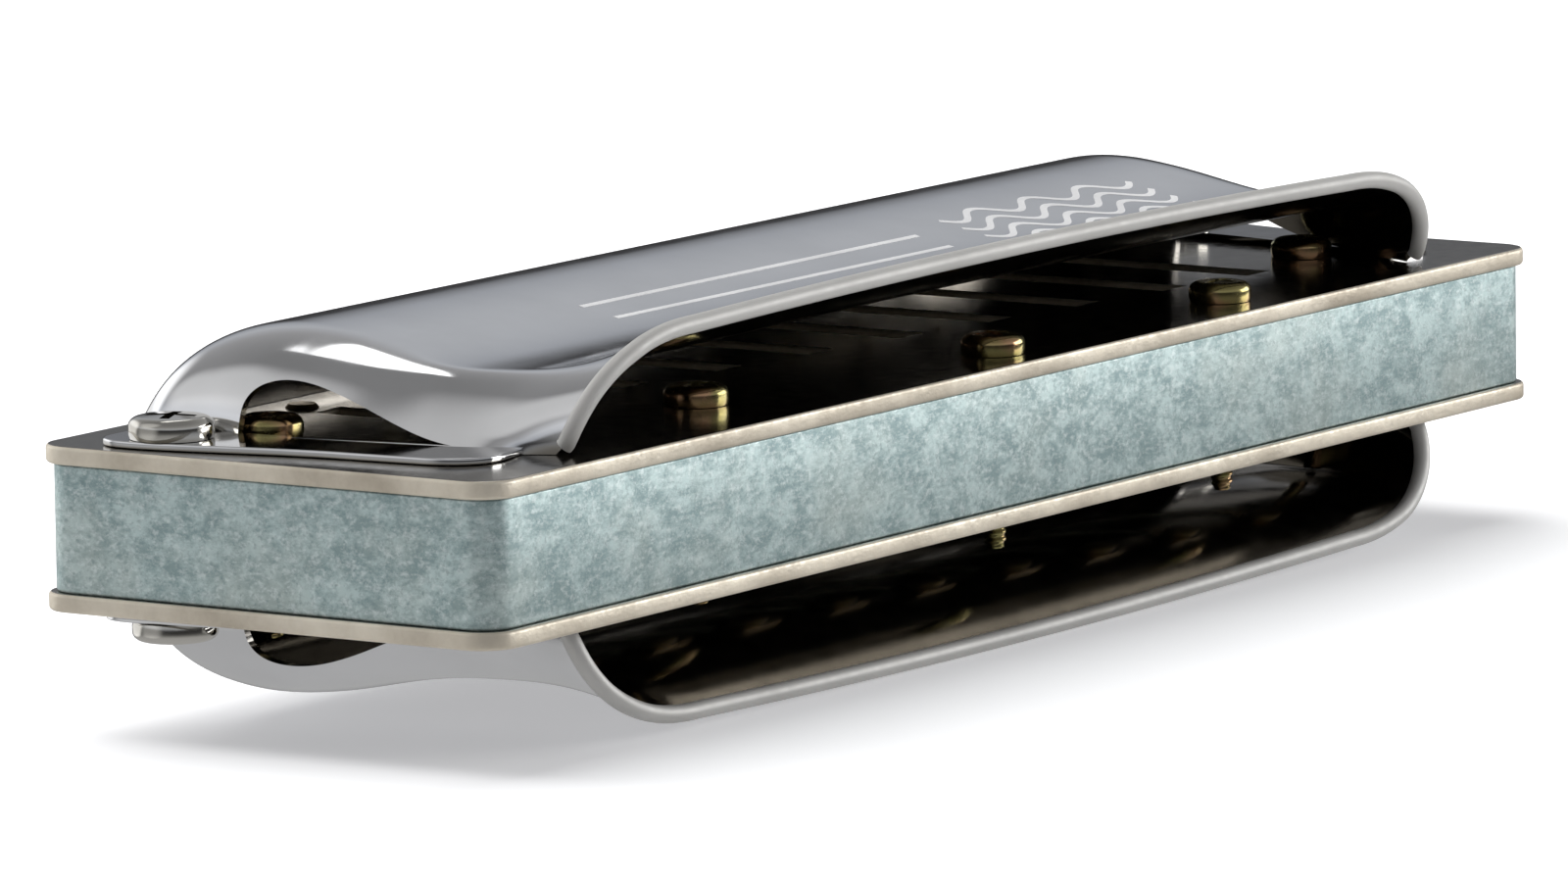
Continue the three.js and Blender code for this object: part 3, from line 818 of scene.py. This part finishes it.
# ---------- marks on the top cover ----------
MARK_DEPTH = 0.05
MARK_PROUD = 0.012
NUMBER_SIZE = 3.0
NUMBER_HEIGHT_ON_SLOPE = 4.1
NUMBER_CUT = 0.25
LINE_DISTANCES = (15.4, 17.6)
LINE_START = 22
LINE_WIDTH = 0.35
WAVE_ROWS = 4
WAVE_START = -14
WAVE_STEP = 0.25
WAVE_FIRST_ROW = 14.2
WAVE_ROW_PITCH = 1.5
WAVE_HEIGHT = 0.7
WAVE_WIDTH = 0.4


def on_cover(x, distance, lift):
    """A point above the cover's sheet, at a distance along its section from the front foot."""
    section = cover_section()
    index = 0
    walked = 0.0
    while True:
        (y0, z0), (y1, z1) = section[index], section[index + 1]
        length = math.hypot(y1 - y0, z1 - z0)
        if walked + length >= distance or index == len(section) - 2:
            break
        walked += length
        index += 1
    t = (distance - walked) / length
    y = y0 + t * (y1 - y0)
    shoulder = end_values(y)[1]
    point = cover_point(x / (2 * shoulder), y, z0 + t * (z1 - z0))
    return point + Vector((0, z0 - z1, y1 - y0)) / length * lift


def number_mesh(hole):
    """The hole's number, laid over the front slope so that it reads from the mouthpiece side."""
    curve = bpy.data.curves.new("number", "FONT")
    curve.body = str(hole)
    curve.size = NUMBER_SIZE
    curve.align_x = "CENTER"
    curve.extrude = MARK_DEPTH / 2
    holder = bpy.data.objects.new("number", curve)
    scene.collection.objects.link(holder)
    mesh = mesh_of(holder)
    bpy.data.objects.remove(holder)
    work = bmesh.new()
    work.from_mesh(mesh)
    bmesh.ops.remove_doubles(work, verts=work.verts, dist=1e-4)
    for step in range(1, int(NUMBER_SIZE / NUMBER_CUT)):
        everything = [*work.verts, *work.edges, *work.faces]
        bmesh.ops.bisect_plane(work, geom=everything, plane_co=(0, step * NUMBER_CUT, 0), plane_no=(0, 1, 0))
    for vertex in work.verts:
        lift = MARK_PROUD if vertex.co.z > 0 else MARK_PROUD - MARK_DEPTH
        vertex.co = on_cover(hole_x(hole) + vertex.co.x, NUMBER_HEIGHT_ON_SLOPE + vertex.co.y, lift)
    work.to_mesh(mesh)
    work.free()
    return mesh


def stripe_mesh(path, width):
    """A closed flat strip over the sheet along a path of (x, distance along the section)."""
    sunk = MARK_PROUD - MARK_DEPTH
    corners = ((1, MARK_PROUD), (-1, MARK_PROUD), (-1, sunk), (1, sunk))
    points = []
    for i, (x, d) in enumerate(path):
        x0, d0 = path[max(i - 1, 0)]
        x1, d1 = path[min(i + 1, len(path) - 1)]
        length = math.hypot(x1 - x0, d1 - d0)
        across = ((d0 - d1) / length * width / 2, (x1 - x0) / length * width / 2)
        for side, lift in corners:
            points.append(on_cover(x + side * across[0], d + side * across[1], lift))
    faces = [(0, 1, 2, 3)]
    for i in range(len(path) - 1):
        for k in range(4):
            j = (k + 1) % 4
            faces.append((4 * i + j, 4 * i + k, 4 * i + 4 + k, 4 * i + 4 + j))
    last = 4 * (len(path) - 1)
    faces.append((last + 3, last + 2, last + 1, last))
    return mesh_from("stripe", points, faces)


def make_marks():
    """Etched hole numbers, and a plain pattern of two lines and four waves on the top."""
    digits = joined("hole_numbers", [number_mesh(hole) for hole in HOLES])
    numbers = finish_mesh("hole_numbers", digits, etched)
    stripes = []
    for distance in LINE_DISTANCES:
        stripes.append(stripe_mesh([(LINE_START - i, distance) for i in range(33)], LINE_WIDTH))
    for row in range(WAVE_ROWS):
        middle = WAVE_FIRST_ROW + WAVE_ROW_PITCH * row
        wave = [(WAVE_START - WAVE_STEP * i, middle + WAVE_HEIGHT * math.sin(math.pi * i / 11))
                for i in range(78)]
        stripes.append(stripe_mesh(wave, WAVE_WIDTH))
    pattern = finish_mesh("cover_pattern", joined("cover_pattern", stripes), etched)
    for mark in (numbers, pattern):
        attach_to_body(mark, BODY)


# ---------- studio ----------
def area_light(name, place_at, width, height, power, long_axis=(1, 0, 0)):
    """A rectangular light that faces the origin, its width along the long axis."""
    lamp = bpy.data.lights.new(name, "AREA")
    lamp.shape = "RECTANGLE"
    lamp.size = width
    lamp.size_y = height
    lamp.energy = power
    outward = Vector(place_at).normalized()
    across = outward.cross(Vector(long_axis)).normalized()
    along = across.cross(outward)
    holder = bpy.data.objects.new(name, lamp)
    holder.location = place_at
    holder.rotation_euler = Matrix((along, across, outward)).transposed().to_euler()
    holder.visible_camera = False
    scene.collection.objects.link(holder)
    return holder


def glow(tree, direction, toward, inner, outer, strength):
    """A soft round patch of light, full inside the inner angle and gone at the outer one, in degrees."""
    dot = tree.nodes.new("ShaderNodeVectorMath")
    dot.operation = "DOT_PRODUCT"
    tree.links.new(direction, dot.inputs[0])
    dot.inputs[1].default_value = Vector(toward).normalized()
    low, high = math.cos(math.radians(outer)), math.cos(math.radians(inner))
    value = remap(tree, dot.outputs["Value"], low, high, 0, strength)
    value.node.interpolation_type = "SMOOTHSTEP"
    return value


# Brightness of the studio by height, from straight down (-1) over the horizon (0) to straight up.
STUDIO_STOPS = [
    (-1.0, (0.46, 0.46, 0.465)),
    (-0.5, (0.42, 0.42, 0.42)),
    (-0.28, (0.3, 0.3, 0.3)),
    (-0.16, (0.1, 0.1, 0.1)),
    (-0.04, (0.038, 0.038, 0.039)),
    (0.1, (0.05, 0.05, 0.053)),
    (0.15, (0.2, 0.207, 0.222)),
    (0.22, (0.35, 0.365, 0.395)),
    (0.36, (0.46, 0.473, 0.5)),
    (0.55, (0.34, 0.34, 0.345)),
    (0.9, (0.22, 0.22, 0.222)),
]
# Soft patches: direction, full within, gone at, brightness.
STUDIO_GLOWS = [
    ((-0.1, -0.98, 0.12), 22, 35, 0.9),
    ((0.83, -0.55, 0.02), 14, 40, 0.3),
    ((0.45, -0.5, 0.74), 12, 28, 0.34),
]


def make_world():
    """A grey studio: dark at the horizon, blue-grey above it, and a white backdrop behind."""
    world = bpy.data.worlds.new("studio")
    scene.world = world
    world.use_nodes = True
    tree = world.node_tree
    studio = tree.nodes["Background"]
    backdrop = tree.nodes.new("ShaderNodeBackground")
    direction = tree.nodes.new("ShaderNodeTexCoord").outputs["Generated"]
    split = tree.nodes.new("ShaderNodeSeparateXYZ")
    tree.links.new(direction, split.inputs["Vector"])
    ramp = tree.nodes.new("ShaderNodeValToRGB")
    tree.links.new(remap(tree, split.outputs["Z"], -1, 1, 0, 1), ramp.inputs["Fac"])
    elements = ramp.color_ramp.elements
    while len(elements) < len(STUDIO_STOPS):
        elements.new(0.5)
    for element, (height, color) in zip(elements, STUDIO_STOPS):
        element.position = (height + 1) / 2
        element.color = (*color, 1)
    light = ramp.outputs["Color"]
    for toward, inner, outer, strength in STUDIO_GLOWS:
        total = tree.nodes.new("ShaderNodeVectorMath")
        tree.links.new(light, total.inputs[0])
        tree.links.new(glow(tree, direction, toward, inner, outer, strength), total.inputs[1])
        light = total.outputs["Vector"]
    tree.links.new(light, studio.inputs["Color"])
    mix = tree.nodes.new("ShaderNodeMixShader")
    tree.links.new(tree.nodes.new("ShaderNodeLightPath").outputs["Is Camera Ray"], mix.inputs["Fac"])
    tree.links.new(studio.outputs["Background"], mix.inputs[1])
    tree.links.new(backdrop.outputs["Background"], mix.inputs[2])
    tree.links.new(mix.outputs["Shader"], tree.nodes["World Output"].inputs["Surface"])
    backdrop.inputs["Color"].default_value = (1, 1, 1, 1)


def make_floor():
    low = cad_box[0][2]
    rim = [(x, y, low) for x, y in circle(0, 0, FLOOR_RADIUS, 64)]
    mesh = mesh_from("floor", rim, [tuple(range(len(rim)))])
    mesh.materials.append(make_floor_material())
    floor = bpy.data.objects.new("floor", mesh)
    scene.collection.objects.link(floor)
    floor.visible_glossy = False


def make_lights():
    """A soft light above the mouthpiece side that isn't mirrored in the metal, and cards that are."""
    overhead = area_light("overhead", (-0.1, -0.55, 1.1), 1.35, 1.35, 19)
    overhead.visible_glossy = False
    area_light("streak_card", (-0.63, -0.505, 1.0), 0.64, 0.15, 0.45, (0.78, 0, 0.62))
    area_light("rear_card", (-1.1, 0.85, 0.3), 1.2, 0.6, 9.5, (0.6, 0.8, 0))


def make_camera():
    azimuth = math.radians(123.689)
    elevation = math.radians(8.313)
    roll = math.radians(0.808)
    distance = 0.679
    aim = Vector((1.26, -1.6, -1.14)) * MM
    lens = 292.75
    forward = Vector((-math.sin(azimuth) * math.cos(elevation), math.cos(azimuth) * math.cos(elevation),
                      -math.sin(elevation)))
    camera_data = bpy.data.cameras.new("camera")
    camera_data.lens = lens
    camera_data.sensor_width = 36
    camera_data.clip_start = 0.01
    camera = bpy.data.objects.new("camera", camera_data)
    camera.location = aim - forward * distance
    turn = forward.to_track_quat("-Z", "Y") @ Matrix.Rotation(-roll, 3, "Z").to_quaternion()
    camera.rotation_mode = "QUATERNION"
    camera.rotation_quaternion = turn
    scene.collection.objects.link(camera)
    scene.camera = camera


# ---------- assembly ----------
make_camera()
make_world()
make_lights()
make_floor()
scene.view_settings.view_transform = "Standard"

make_comb()
make_reed_plate("blow_reed_plate_milled", COMB_HEIGHT / 2, "blow_reed_plate")
make_reed_plate("draw_reed_plate_milled", -PLATE_TOP, "draw_reed_plate")
for is_blow in (True, False):
    for hole in HOLES:
        make_rivet(hole, is_blow)
        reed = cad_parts[f"{'blow' if is_blow else 'draw'}_reed_{hole:02d}"]
        # The reeds take the darkened bronze, painted shade of the slots.
        reed.data.materials.clear()
        reed.data.materials.append(reed_bronze)
make_plate_screws()
make_cover_screws()
make_cover_nuts()
make_cover("top_cover_shell", "top_cover", False)
make_cover("bottom_cover_shell", "bottom_cover", True)
make_marks()
